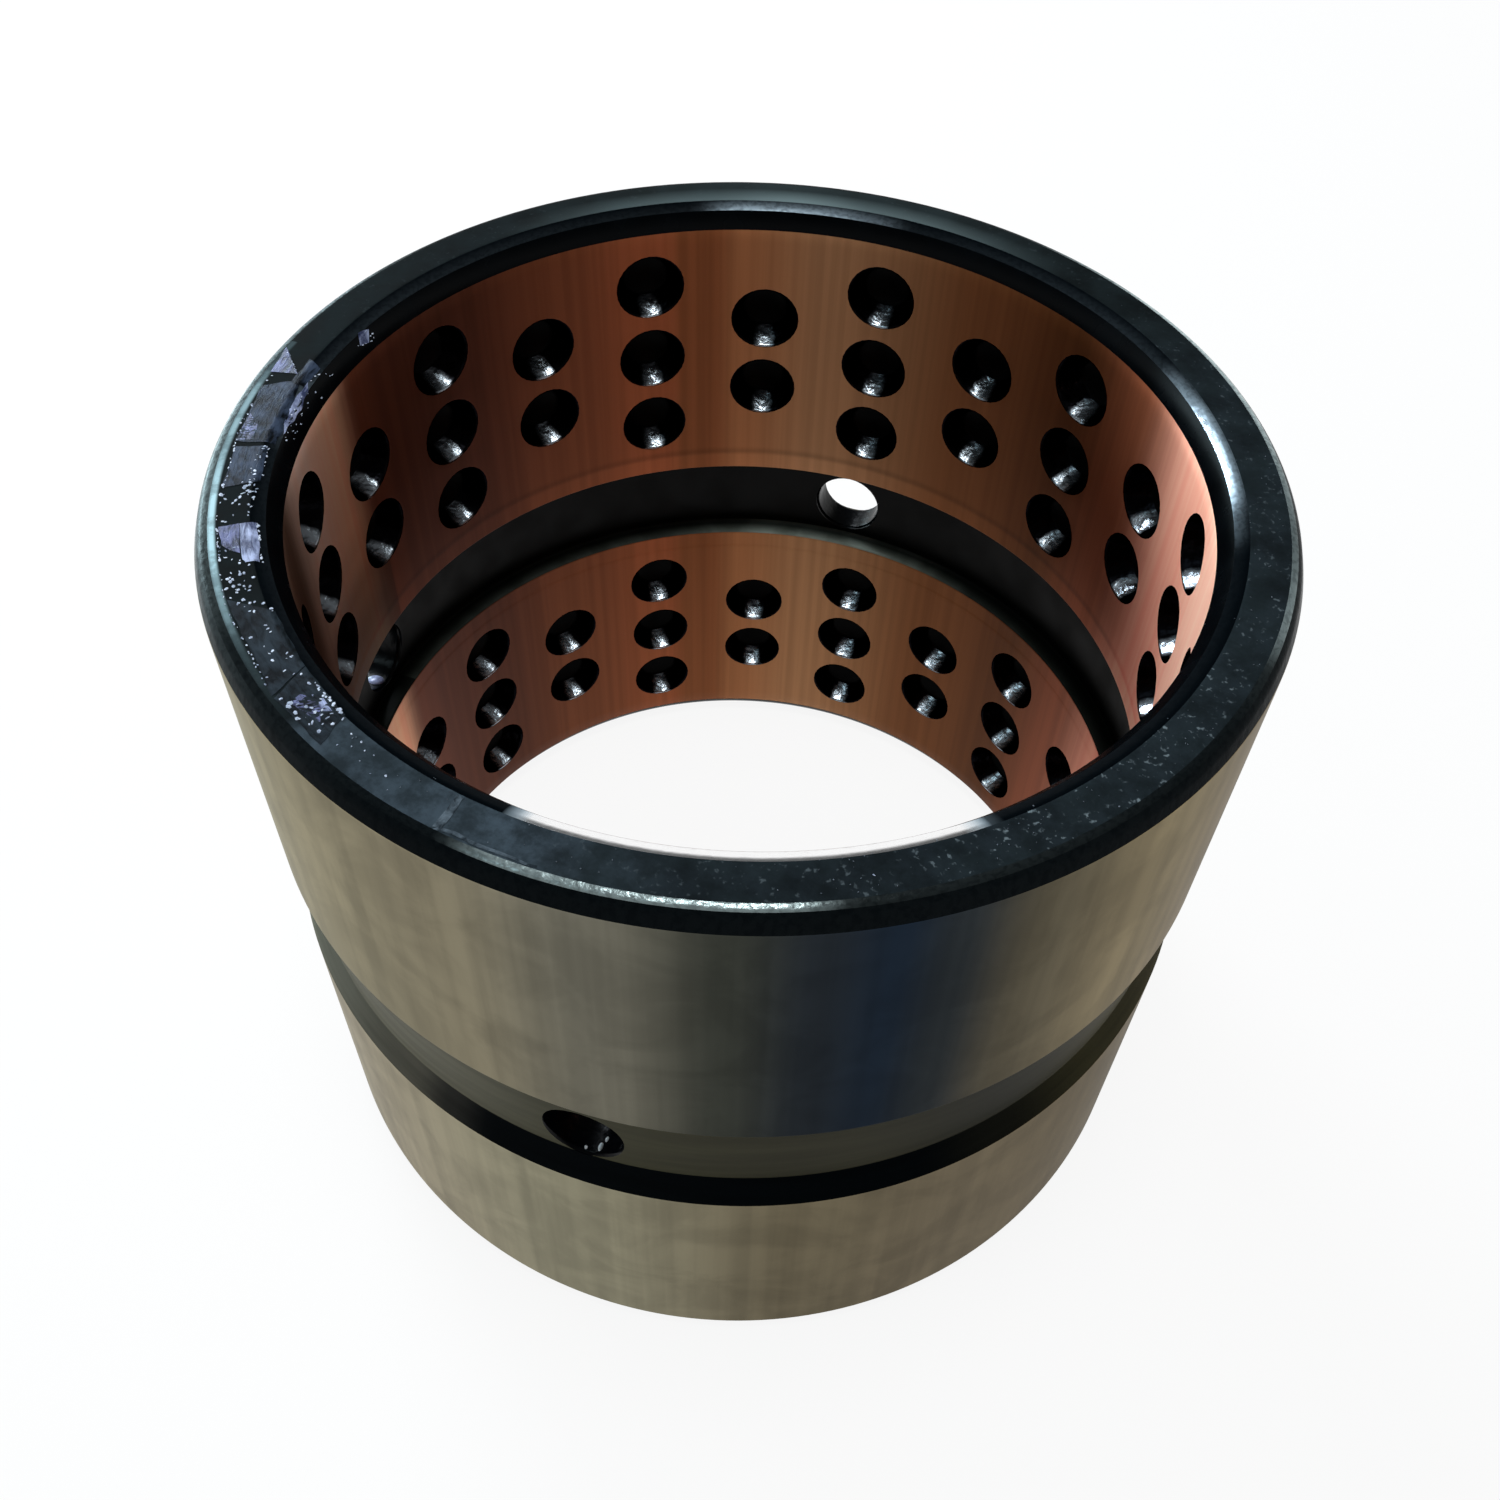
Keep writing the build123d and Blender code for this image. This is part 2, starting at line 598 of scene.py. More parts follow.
def along_rim(along, outward):
    """Coordinates that run along the rim and outward, for marks that follow it."""
    return add("CombineXYZ", {0: calc("MULTIPLY", turn_round(), along),
                              1: calc("MULTIPLY", radius_out(), outward)}).outputs[0]


def streaked(base, share, across, along):
    """A colour with streaks over it, from noise stretched by its two scales."""
    mapped = add("Mapping", {"Vector": place, "Scale": (across, across, along)}).outputs[0]
    tone = cloud_at(mapped, 1.0, 3.0, 0.55)
    return mix(share, base, ramp(tone, (0.3, 0.35), (0.7, 0.65)), "OVERLAY")


def brush(amount):
    """Stretches the reflections along the bore, as fine tool marks do."""
    shader.inputs["Anisotropic"].default_value = amount
    shader.inputs["Anisotropic Rotation"].default_value = 0.25
    tangent = add("Tangent", direction_type="RADIAL", axis="Z")
    tree.links.new(tangent.outputs[0], shader.inputs["Tangent"])


# %% [markdown]
# The bore lands have a thin coat of copper. It is a metal with brushed
# reflections, and its colour round the bore is painted reflection: darker and
# lighter bands, bright salmon ones on two sides, with a pale band and a dark
# crease just above the groove. On one side the upper land is darker lower down.

# %% Copper coat
def copper_coat():
    made = blank_finish("copper_coat")
    # painted reflection: darker, lighter and salmon bands round the bore
    base = paint_round(
        (-180, 120, 66, 46), (-173, 255, 195, 160), (-162, 255, 215, 195),
        (-150, 100, 70, 55), (-100, 150, 105, 80), (5, 250, 190, 165), (26, 245, 170, 145),
        (42, 150, 84, 56), (56, 100, 59, 33), (74, 122, 76, 46), (98, 168, 123, 88),
        (112, 162, 108, 72), (116, 132, 80, 50), (121, 132, 80, 50), (124, 150, 86, 56),
        (140, 122, 72, 48), (160, 92, 53, 39), (174, 104, 58, 42), (179.964, 120, 66, 46))
    base = streaked(base, 0.35, 900, 12)
    wobble = cloud_at(place, 90.0, 3.0)
    level = calc("MULTIPLY_ADD", wobble, 0.5 * MM, level_of(place))
    band_start, band_height = mid + 0.25 * MM, 20 * MM
    rise = calc("MULTIPLY_ADD", level, 1 / band_height, -band_start / band_height)
    crease = ramp(rise, (0.1, (0.46, 0.45, 0.42, 1)), (0.24, 0.62), (0.35, 0.6),
                  (0.385, 0.36), (0.425, 0.5))
    base = mix(0.8, base, crease, "OVERLAY")
    # darker from the groove up towards the upper rim, on one side
    dim = ramp(calc("MULTIPLY", level, 1 / height), (0.5, 1), (0.52, 0.25),
               (0.63, 0.28), (0.69, 0.46), (0.745, 0.8), (0.8, 1))
    dimmed_side = share_round((-180, 0.5), (-177, 1), (-160, 1), (-150, 0))
    base = mix(dimmed_side, base, dim, "MULTIPLY")
    dress(base, {"Metallic": 1.0, "Roughness": 0.5})
    brush(0.8)
    return made


# %% [markdown]
# The outside is ground, so it shines in long soft bands. Handling has stained
# it in cloudy patches. Round the sleeve its colour is painted reflection: lighter
# and darker bands and a dark bluish patch at the front, set apart for each land.

# %% Ground steel
def ground_steel():
    made = blank_finish("ground_steel")
    # painted reflection: bands round the outside, dark and bluish at the front
    upper_reflection = paint_round(
        (-180, 202, 193, 172), (-125, 177, 167, 136), (-100, 139, 131, 109),
        (-84, 114, 111, 98), (-72, 58, 60, 54), (-64, 36, 41, 46), (-57, 27, 37, 49),
        (-51, 45, 50, 53), (-42, 98, 91, 74), (-28, 148, 134, 104), (-10, 146, 130, 102),
        (4, 100, 93, 74), (60, 150, 143, 125))
    lower_reflection = paint_round(
        (-180, 189, 180, 161), (-125, 177, 166, 141), (-90, 152, 147, 124),
        (-62, 112, 103, 82), (-45, 118, 107, 86), (-20, 120, 106, 80), (10, 130, 117, 90),
        (60, 150, 143, 125))
    base = mix(calc("GREATER_THAN", level_of(place), mid), lower_reflection, upper_reflection)
    stain = cloud_at(place, 110.0, 4.0, 0.6, 0.6)
    base = mix(0.45, base, ramp(stain, (0.35, 0.36), (0.62, 0.58)), "OVERLAY")
    base = streaked(base, 0.34, 500, 9)
    dress(base, {"Metallic": 1.0, "Roughness": 0.35, "Specular Tint": grey(0.5)})
    brush(0.7)
    return made


# %% [markdown]
# Black oxide covers the ends, the bore groove, the holes and the pockets. It is
# an oily black that mirrors only weakly, so its index of refraction is low. In
# the outside groove it is browned by old oil, and painted light round the groove
# makes it pale on one side and near black at the front.

# %% Black oxide and oiled black
def black_oxide(name, roughness, tint, ior, grain=0.0):
    """Blackened steel, with a fine grain where grain says how deep."""
    made = blank_finish(name)
    cloud = cloud_at(place, 260.0, 4.0)
    dark = paint(*(0.6 * level for level in tint))
    dress(ramp(cloud, (0.3, dark), (0.7, paint(*tint))), {"IOR": ior})
    rough = ramp(cloud, (0.3, roughness * 0.85), (0.7, roughness * 1.15))
    tree.links.new(rough, shader.inputs["Roughness"])
    if grain:
        bump(cloud_at(place, 1100.0, 2.0), grain, 0.5)
    return made


def oil_and_sheen(name, roughness, ior, *stops):
    """A face of the outside groove, its brown oil and painted light coloured by (degrees, red,
    green, blue).
    """
    made = blank_finish(name)
    dress(streaked(paint_round(*stops), 0.5, 60, 900), {"Roughness": roughness, "IOR": ior})
    return made


# %% [markdown]
# The black rim's edges carry painted highlights. Such an edge is black and
# bright metal mixed by a share, which is set round the rim where highlights fall,
# fades outward, and is broken up by scuffs. The flank of the bore groove carries
# a painted grey glare in the same way.

# %% Edges with painted highlights
def highlit_edge(name, roughness, dent, tint, near, far, *stops, bare=None):
    """An edge of the black rim, made bright metal as a painted highlight where its
    (degrees, share) stops say. Near and far are (radius in MM, part of the share) where
    the highlight starts and where it has faded. Between the two turns of bare it is
    plain bright metal, a painted highlight too."""
    made = blank_finish(name)
    scuffs = cloud_at(along_rim(500, 2600), 1.0, 4.0, 0.5, 0.5)
    kept = ramp(scuffs, (0.36, 0.6), (0.58, 1))
    part = calc("MULTIPLY", share_outward(near, far), kept)
    # painted highlight: the share of bright metal follows where highlights fall round the rim
    bright = calc("MULTIPLY", share_round(*stops), part)
    shine = (*tint, 1)
    if bare:
        first, last = bare
        bared = share_round((first, 0), (first + 3, 1), (last - 3, 1), (last, 0))
        shine = mix(bared, shine, grey(1))
        bright = calc("MAXIMUM", bright, bared)
    tree.links.new(bright, shader.inputs["Metallic"])
    dress(mix(bright, paint(3, 6, 9), shine), {"Roughness": roughness, "IOR": 1.05})
    bump(cloud_at(place, 1200.0, 3.0), dent * MM, 0.8)
    return made


def glare_step():
    """The upward flank of the bore groove, with a painted grey glare towards the copper at the
    back.
    """
    made = blank_finish("bore_groove_step")
    # painted glare round the groove, strongest at the back
    glare_share = share_round((-170, 0.02), (40, 0.03), (66, 0.07), (80, 0.45),
                       (92, 0.85), (106, 1), (114, 0.5), (121, 0.2), (160, 0.1))
    amount = calc("MULTIPLY", glare_share, share_outward((40.2, 1.0), (41.7, 0.18)))
    cloud = cloud_at(place, 300.0, 3.0)
    pale = ramp(cloud, (0.3, paint(118, 126, 116)), (0.7, paint(150, 160, 150)))
    dress(mix(amount, paint(3, 5, 4), pale), {"Roughness": 0.45, "IOR": 1.1})
    return made


# %% [markdown]
# The end face is where the bushing is handled most. Over its black lie four
# marks, each a colour laid on by a share: a bluish smudge where film was wiped
# off, clusters of dust flecks, a painted sheen at the back near the bore, and a
# painted highlight along the outer edge on one side.

# %% End face
def handled_and_lit_black():
    made = black_oxide("oxide_end_face", 0.5, (25, 32, 34), 1.05, 0.02 * MM)
    cloud = cloud_at(place, 420.0, 6.0, 0.65)
    base = shader.inputs["Base Color"].links[0].from_socket

    def mark(colour, where, *parts):
        """Lays a colour over the base by its share round the rim, times other parts."""
        share = share_round(*where)
        for part in parts:
            share = calc("MULTIPLY", share, part)
        return mix(share, base, paint(*colour))

    base = mark((74, 87, 98), ((-118, 0), (-115.5, 1), (-112, 0.6), (-92, 0.75), (-84, 0.3),
                               (-75, 0.12), (-30, 0.16), (30, 0.12), (60, 0)),
                ramp(cloud, (0.34, 0.3), (0.7, 1)))
    flecks = cloud_at(place, 2000.0, 2.0, 0.5, 0.25)
    base = mark((112, 124, 130), ((-100, 0), (-60, 0.35), (-38, 1), (-18, 0.85), (0, 0.45),
                                  (15, 0.3), (60, 0.06)),
                ramp(cloud, (0.47, 0.03), (0.58, 1)),
                ramp(flecks, (0.58, 0), (0.72, 1)))
    # painted sheen at the back, near the bore
    base = mark((112, 128, 130), ((62, 0), (92, 0.55), (104, 0.95), (118, 0.5), (150, 0)),
                share_outward((42, 1.0), (44.5, 0.1)))
    # painted highlight: a pale cyan band along the outer edge on one side
    rim = share_outward((44.7, 0.0), (46.7, 1.0))
    base = mark((196, 232, 242), ((-176, 0.08), (-170, 0.5), (-160, 0.6), (-151, 1),
                                  (-143, 0.95), (-135, 0.35), (-128, 0.05), (-118, 0)),
                ramp(rim, (0.08, 0), (0.24, 1), (0.33, 1), (0.5, 0.35)),
                ramp(cloud, (0.36, 0.6), (0.55, 1)))
    tree.links.new(base, shader.inputs["Base Color"])
    return made


# %% [markdown]
# Low in each pocket the wall is bright metal in a small spot, a painted glint
# that catches the ceiling lamp. A hundred modelled glints would cost many faces, so
# it is a spot in the pocket's own material, which reads how far each vertex is
# from the middle of its pocket.

# %% Pocket wall
glint_drop, glint_across, glint_up = 3.0, 1.3, 1.15


def pocket_black():
    made = blank_finish("pocket_wall")
    across = add("Attribute", attribute_name="pocket").outputs["Vector"]
    shifted = add("Mapping", {"Vector": across, "Location": (0, glint_drop / glint_up, 0),
                              "Scale": (1 / glint_across, 1 / glint_up, 0)}).outputs[0]
    away = add("VectorMath", {0: shifted}, operation="LENGTH").outputs["Value"]
    lumps = cloud_at(place, 900.0, 2.0)
    reach = calc("ADD", away, calc("MULTIPLY_ADD", lumps, 0.5, -0.25))
    # painted glint: bright metal in a spot low in the pocket
    base = ramp(reach, (0.45, (0.5, 0.56, 0.62, 1)), (1.0, (0.004, 0.004, 0.005, 1)))
    dress(base, {"Metallic": 1.0, "Roughness": 0.27, "Specular Tint": (0.1, 0.11, 0.12, 1)})
    bump(lumps, 0.4 * MM, 0.4)
    return made


# %% The finishes of the sleeve
finishes = [
    black_oxide("black_oxide", 0.25, (3, 6, 9), 1.12),
    # the three rim edges carry painted highlights, set round the rim where the lamps mirror
    highlit_edge(
        "bore_edge", 0.16, 0.02, (0.68, 0.86, 1.0), (41.2, 1), (42.1, 0.15), (-177, 0.02),
        (-170, 0.15), (-164, 0.05), (-160, 0.01), (-94, 0.003), (6, 0.004), (12, 0.1),
        (20, 0.85), (31, 0.95), (36, 0.3), (43, 0.02), (87, 0.01), (93, 0.14), (99, 0.3),
        (112, 0.32), (119, 0.01), (174, 0.02), bare=(-94, -46)),
    highlit_edge(
        "face_edge", 0.2, 0.12, (0.78, 0.95, 0.96), (45, 1), (46, 1), (-176, 0.06),
        (-165, 0.09), (-150, 0.1), (-140, 0.05), (-128, 0.01), (-98, 0.006), (-91, 0.35),
        (-68, 0.4), (-61, 0.02), (-20, 0.008), (-11, 0.02), (-3, 0.3), (10, 0.16),
        (20, 0.3), (31, 0.55), (52, 0.6), (62, 0.25), (72, 0.03), (80, 0.006),
        (150, 0.006), (165, 0.05)),
    highlit_edge(
        "outer_edge", 0.22, 0.05, (0.8, 0.97, 1.0), (46, 1), (47, 1), (-177, 0.3),
        (-170, 0.5), (-160, 0.35), (-150, 0.2), (-140, 0.09), (-130, 0.03), (-118, 0.01),
        (-104, 0.004), (-25, 0.006), (-10, 0.01), (2, 0.02), (20, 0.03), (60, 0.05),
        (75, 0.04), (100, 0.02), (145, 0.02), (165, 0.08)),
    handled_and_lit_black(),
    black_oxide("groove_black", 0.45, (10, 12, 12), 1.15),
    glare_step(),
    # painted light round the outside groove: pale on one side, near black at the front
    oil_and_sheen(
        "groove_flank_oil_and_sheen", 0.35, 1.03, (-150, 112, 112, 98), (-126, 96, 94, 84),
        (-111, 84, 81, 72), (-105, 46, 45, 42), (-99, 8, 11, 13), (-50, 3, 6, 8),
        (-38, 22, 22, 17), (-22, 54, 51, 34), (0, 66, 61, 40)),
    black_oxide("oiled_hole", 0.22, (3, 5, 8), 1.2, 0.1 * MM),
    pocket_black(),
    black_oxide("pocket_floor", 0.5, (2, 3, 4), 1.12),
    oil_and_sheen(
        "groove_floor_oil_and_sheen", 0.4, 1.08, (-150, 108, 105, 90), (-112, 98, 95, 80),
        (-84, 60, 58, 42), (-60, 51, 49, 35), (-40, 36, 35, 24), (-15, 66, 61, 38),
        (40, 58, 54, 38)),
    copper_coat(),
    ground_steel(),
]
slots = [finish.name for finish in finishes]
body.data.materials.clear()
for finish in finishes:
    body.data.materials.append(finish)
print(f"{len(slots)} finishes on the sleeve")

# %% [markdown]
# Each finish is a material slot, and each face goes to a slot by where it lies:
# its radius, how far it is from the middle, and how far below an end face.
# Picking faces by hand would have to be done again after every change.

# %% Finishes by place
hair = 0.03 * MM
bore_land_drop, outer_land_drop = 2.1 * MM, 1.85 * MM    # where the lands end
hole_half = hole_r + 0.6 * MM
# Edges with painted highlights: how far below an end face, and from and to how far out of the bore.
highlit_rims = (("outer_edge", 2 * MM, wall - 1.3 * MM, wall + hair),
             ("face_edge", 0.4 * MM, wall - 2.1 * MM, wall + hair),
             ("bore_edge", 0.8 * MM, 0.8 * MM, 2.2 * MM))


def from_pocket(point):
    """How far a point lies across and up from the middle of the nearest pocket."""
    turns = atan2(point.y, point.x) / column_turn
    column = round(turns)
    rows = rows_short if column % 2 == 0 else rows_long
    side = 1 if point.z > mid else -1
    lift = point.z - mid - side * land_middle
    ups = [lift - side * (row - (rows - 1) / 2) * row_pitch for row in range(rows)]
    return (turns - column) * column_turn * bore_r, min(ups, key=abs)


def finish_of(face):
    """The finish of a face of the sleeve, by where it lies."""
    radius = face.center.xy.length
    off = abs(face.center.z - mid)
    drop = height / 2 - off
    below = face.center.z < mid
    if radius > outer_r - lead - hair and drop > outer_land_drop:
        return "ground_steel"
    if abs(radius - outer_mouth) < hair and off < outer_floor_half:
        return "groove_floor_oil_and_sheen"
    if ring_start < off < ring_end and hypot(*from_pocket(face.center)) < pocket_mouth:
        return "pocket_floor" if radius > bore_r + wall_depth - hair else "pocket_wall"
    if radius < bore_r + relief_depth + hair and off > inner_groove_half and drop > bore_land_drop:
        return "copper_coat"
    if abs(face.normal.z) > 0.99 and drop < MM:
        return "oxide_end_face"
    for name, deep, near, far in highlit_rims:
        if drop < deep and near < radius - bore_r < far:
            return name
    if off < hole_half and inner_mouth + hair < radius < outer_mouth - hair:
        return "oiled_hole"
    if below and abs(off - inner_groove_half) < 10 * hair and radius < inner_mouth:
        return "bore_groove_step"
    if off < outer_groove_half and radius > outer_mouth - hair:
        return "groove_flank_oil_and_sheen" if below else "groove_floor_oil_and_sheen"
    if off < inner_groove_half or off < outer_groove_half and radius > bore_r + wall / 2:
        return "groove_black"
    return "black_oxide"


pocket = body.data.attributes.new("pocket", "FLOAT_VECTOR", "POINT")
for vertex in body.data.vertices:
    across, up = from_pocket(vertex.co)
    sunk = vertex.co.xy.length > bore_r + 0.01 * MM
    if sunk and hypot(across, up) < pocket_mouth:
        pocket.data[vertex.index].vector = (across / MM, up / MM, 0)

for face in body.data.polygons:
    face.material_index = slots.index(finish_of(face))
for name in slots:
    print(name, sum(face.material_index == slots.index(name) for face in body.data.polygons))

# %% [markdown]
# Rust-proofing film has dried on the upper end face and cracked into thin
# sheets, most of it on one side. It is a clear crinkled skin, cloudy in streaks
# that run along the rim, and of many faint colours.

# %% Film finish
def film(name, dark, pale, roughness, ior=1.4, crease=0.1, along=160, outward=1500):
    """Dried film between a dark and a pale colour, with creases so many MM deep."""
    made = blank_finish(name)
    streak = cloud_at(along_rim(along, outward), 1.0, 5.0, 0.65, 0.8)
    tone = mix(0.5, streak, cloud_at(place, 500.0, 3.0))
    base = ramp(tone, (0.42, paint(*dark)), (0.6, paint(*pale)), smooth="LINEAR")
    dress(base, {"Roughness": roughness, "IOR": ior, "Specular Tint": (0.72, 0.76, 1.0, 1)})
    bump(streak, crease * MM, 0.8)
    return made


# %% [markdown]
# Each sheet is a fine grid, cut to its outline by one bisect for each edge and
# laid on the rim. Noise crinkles it, and a solidify makes it a skin with an
# edge. A cloth simulation could drape it, but on so hard a face it hardly moves.

# %% Laying a sheet on the rim
film_floor, film_lift = 0.004 * MM, 0.034 * MM    # least and middle gap to the face
noise.seed_set(11)    # its vectors would start from the clock, and differ on each run
film_pieces = []
rim_line = ([(bore_r + inset * MM, drop * MM) for inset, drop, _ in bore_rim]
            + [(outer_r - inset * MM, drop * MM) for inset, drop, _ in outer_rim])


def rim_drop(radius):
    """How far the rim lies below the end face at a radius."""
    for (near, high), (far, low) in zip(rim_line, rim_line[1:]):
        if near <= radius <= far:
            return high + (low - high) * (radius - near) / (far - near)
    return rim_line[0][1] if radius < bore_r else rim_line[-1][1]


def on_rim(degrees_round, radius):
    """A point of the end face from its turn and its radius in MM."""
    turn = radians(degrees_round)
    return Vector((cos(turn), sin(turn), 0)) * radius * MM


def lay(piece, crinkle):
    """Lays a flat grid on the rim, and crinkles it up and down and sideways."""
    for vertex in piece.data.vertices:
        spot = vertex.co * 1500
        drift = noise.noise_vector(vertex.co * 700) * 0.14 * MM
        vertex.co.x += drift.x
        vertex.co.y += drift.y
        radius = hypot(vertex.co.x, vertex.co.y)
        wave = noise.noise(spot) + 0.5 * noise.noise(spot * 2.3)
        level = max(film_floor, film_lift + crinkle * wave * MM)
        vertex.co.z = height - film_room - rim_drop(radius) + min(level, film_room - film_floor)


def sheet(finish, corners, crinkle, cell=0.22):
    """A thin sheet of film whose (degrees, radius) corners go round one way."""
    outline = [on_rim(*corner) for corner in corners]
    low = Vector([min(values) for values in zip(*outline)])
    high = Vector([max(values) for values in zip(*outline)])
    span = high - low
    piece = start("sheet", bpy.ops.mesh.primitive_grid_add, size=1,
                  x_subdivisions=max(2, round(span.x / (cell * MM))),
                  y_subdivisions=max(2, round(span.y / (cell * MM))))
    bpy.ops.transform.resize(value=(span.x, span.y, 1))
    bpy.ops.transform.translate(value=(low + high) / 2)
    middle = sum(outline, Vector()) / len(outline)
    for here, there in zip(outline, outline[1:] + outline[:1]):
        away = (there - here).cross(Vector((0, 0, 1))).normalized()
        if away.dot(middle - here) > 0:
            away.negate()
        bpy.ops.mesh.select_all(action="SELECT")
        bpy.ops.mesh.bisect(plane_co=here, plane_no=away, clear_outer=True,
                            threshold=0.002 * MM)
    finish_edit()
    lay(piece, crinkle)
    apply(piece, "SOLIDIFY", thickness=0.01 * MM, offset=-1)
    bpy.ops.object.shade_smooth_by_angle(angle=radians(40))
    piece.data.materials.append(finish)
    return piece


def join_as(name, pieces):
    """Joins pieces into one film piece, under a name."""
    alone(*pieces)
    bpy.ops.object.join()
    pieces[0].name = name
    film_pieces.append(pieces[0])
    print(f"{name}: {len(pieces[0].data.polygons)} faces")


# %% Sheets of dried film
def film_piece(name, finish, crinkle, *outlines):
    """One piece of film, from sheets with the same finish and crinkle."""
    join_as(name, [sheet(finish, corners, crinkle) for corners in outlines])


film_piece(
    "film_dark", film("dark_film", (8, 12, 14), (40, 50, 58), 0.4, 1.1, 0.06, 120), 0.010,
    ((224.2, 44.92), (227.7, 41.75), (236.8, 41.88), (238.6, 45.2)),
    ((239.0, 45.2), (236.9, 41.88), (245.3, 42.15), (246.7, 45.10)))
film_piece(
    "film_haze", film("haze_film", (34, 42, 48), (92, 104, 114), 0.4, 1.1, 0.05, 300, 1200), 0.008,
    ((261.0, 42.4), (261.7, 42.4), (262.0, 45.1), (261.2, 45.4)),
    ((261.4, 45.5), (261.7, 45.15), (268.5, 45.25), (268.6, 45.5)),
    ((267.6, 45.5), (267.7, 45.3), (271.5, 45.3), (271.5, 45.5)))
film_piece(
    "film_slate", film("slate_film", (6, 10, 14), (58, 70, 90), 0.34, 1.13, 0.08, 160, 2600), 0.010,
    ((188.7, 44.93), (186.7, 41.98), (195.2, 41.2), (198.7, 41.3), (198.9, 44.68)),
    ((199.7, 44.52), (199.4, 41.76), (205.7, 41.70), (206.6, 44.68)),
    ((182.4, 42.6), (183.2, 41.3), (187.4, 41.4), (187.0, 42.7)))
film_piece(
    "film_violet", film("violet_film", (20, 24, 46), (112, 118, 166), 0.3, 1.25, 0.1, 160, 2600),
    0.014, ((181.4, 45.5), (186.1, 45.04), (185.6, 42.6)),
    ((193.8, 44.5), (195.5, 43.4), (198.3, 43.3), (198.7, 44.7)),
    ((213.0, 44.71), (212.8, 43.1), (217.6, 43.1), (216.8, 43.9), (215.9, 44.44)),
    ((240.2, 44.6), (239.9, 43.4), (242.6, 42.8), (244.4, 43.9)))
# painted highlight: the film is pale silver where it drapes over the inner edge
film_piece(
    "film_silver", film("silver_film", (52, 60, 92), (172, 184, 220), 0.3, 1.25, 0.08, 160, 2600),
    0.016, ((186.4, 41.35), (187.8, 40.95), (193.0, 40.85), (196.4, 41.1), (193.6, 41.4),
            (190, 41.55)),
    ((172.8, 40.9), (174.6, 41.05), (175.6, 40.6), (174.0, 40.35)),
    ((240.8, 42.9), (241.3, 42.4), (243.9, 42.5), (243.4, 43.0)),
    ((212.9, 43.05), (212.7, 41.64), (219.4, 41.7), (219.2, 42.86), (218.6, 43.05)))

# %% [markdown]
# Between the sheets lie crumbs of film and dust; the film crumbs are near white,
# a painted glint. One small crumb is modelled and copied, turned and sized by a
# seeded random generator, so the same crumbs come back on every run. Each patch
# of crumbs is then joined into one piece.

# %% One crumb and its copies
chance = random.Random(11)
crumb_lift, crumb_half = 0.026 * MM, 0.03 * MM
crumb = start("crumb", bpy.ops.mesh.primitive_ico_sphere_add, subdivisions=1, radius=1)
bpy.ops.transform.vertex_random(offset=0.25, seed=3)
finish_edit()
bpy.ops.object.shade_smooth_by_angle(angle=radians(25))
print(f"crumb: {len(crumb.data.polygons)} faces")


def crumb_at(spot, length, width, heading):
    """A copy of the crumb on the rim, its length and width in MM."""
    copy = crumb.copy()
    copy.data = crumb.data.copy()
    bpy.context.collection.objects.link(copy)
    spot.z = height - film_room - rim_drop(spot.length) + crumb_lift
    copy.location = spot
    copy.scale = (length / 2 * MM, width / 2 * MM, crumb_half)
    copy.rotation_euler.z = heading
    return copy


def scatter(first, last, near, far, count, size):
    """Crumbs strewn between two turns in degrees and two radii."""
    for _ in range(count):
        spot = on_rim(chance.uniform(first, last), chance.uniform(near, far))
        wide = size * chance.uniform(0.5, 1.4)
        yield crumb_at(spot, wide, wide * chance.uniform(0.3, 0.75), chance.uniform(0, pi))


def fringe(here, there, count, size):
    """Crumbs strewn along a torn edge between two (degrees, radius) corners."""
    here, there = on_rim(*here), on_rim(*there)
    heading = atan2(there.y - here.y, there.x - here.x)
    for _ in range(count):
        spot = here.lerp(there, chance.random())
        spot.x += chance.uniform(-0.08, 0.08) * MM
        spot.y += chance.uniform(-0.08, 0.08) * MM
        wide = size * chance.uniform(0.5, 1.6)
        yield crumb_at(spot, wide, wide * chance.uniform(0.3, 0.7),
                       heading + chance.uniform(-0.5, 0.5))


def gather(name, finish, copies):
    """Joins crumbs into one piece with one finish."""
    join_as(name, copies)
    bpy.ops.object.transform_apply()
    copies[0].data.materials.append(finish)


# %% Crumbs and dust
# painted glint: the film crumbs are near white so that they show as sparkle
glinting_crumb_film = film("film_crumb", (130, 142, 165), (215, 225, 242), 0.3)
dust_grain = film("dust_grain", (44, 52, 58), (110, 120, 130), 0.5)
curl_width = 0.14
curls = ((201.5, 42.1, 0.5, 2.2), (207.8, 42.9, 0.55, 0.9), (211.1, 42.3, 0.3, 2.6),
         (205.9, 43.1, 0.25, 1.2), (217.9, 44.3, 0.4, 0.4), (220.6, 43.4, 0.5, 2.4))
bright = [crumb_at(on_rim(turn, radius), long, curl_width, heading)
          for turn, radius, long, heading in curls]
for patch in ((206, 212.5, 41.8, 44.7, 30, 0.36), (216.5, 226, 43.0, 44.7, 26, 0.34),
              (219, 228, 41.8, 43.6, 14, 0.3), (228, 238, 42.2, 45.0, 18, 0.32),
              (239, 246, 42.0, 45.0, 30, 0.42), (247, 256, 42.6, 45.0, 10, 0.2),
              (199, 206, 41.8, 42.6, 12, 0.3), (186, 198, 44.3, 45.0, 10, 0.22),
              (172.5, 176, 40.3, 41.0, 8, 0.34), (182, 188, 40.3, 41.3, 10, 0.26),
              (189, 197, 40.4, 41.2, 22, 0.26), (300.7, 301.3, 43.9, 44.0, 1, 0.3)):
    bright.extend(scatter(*patch))
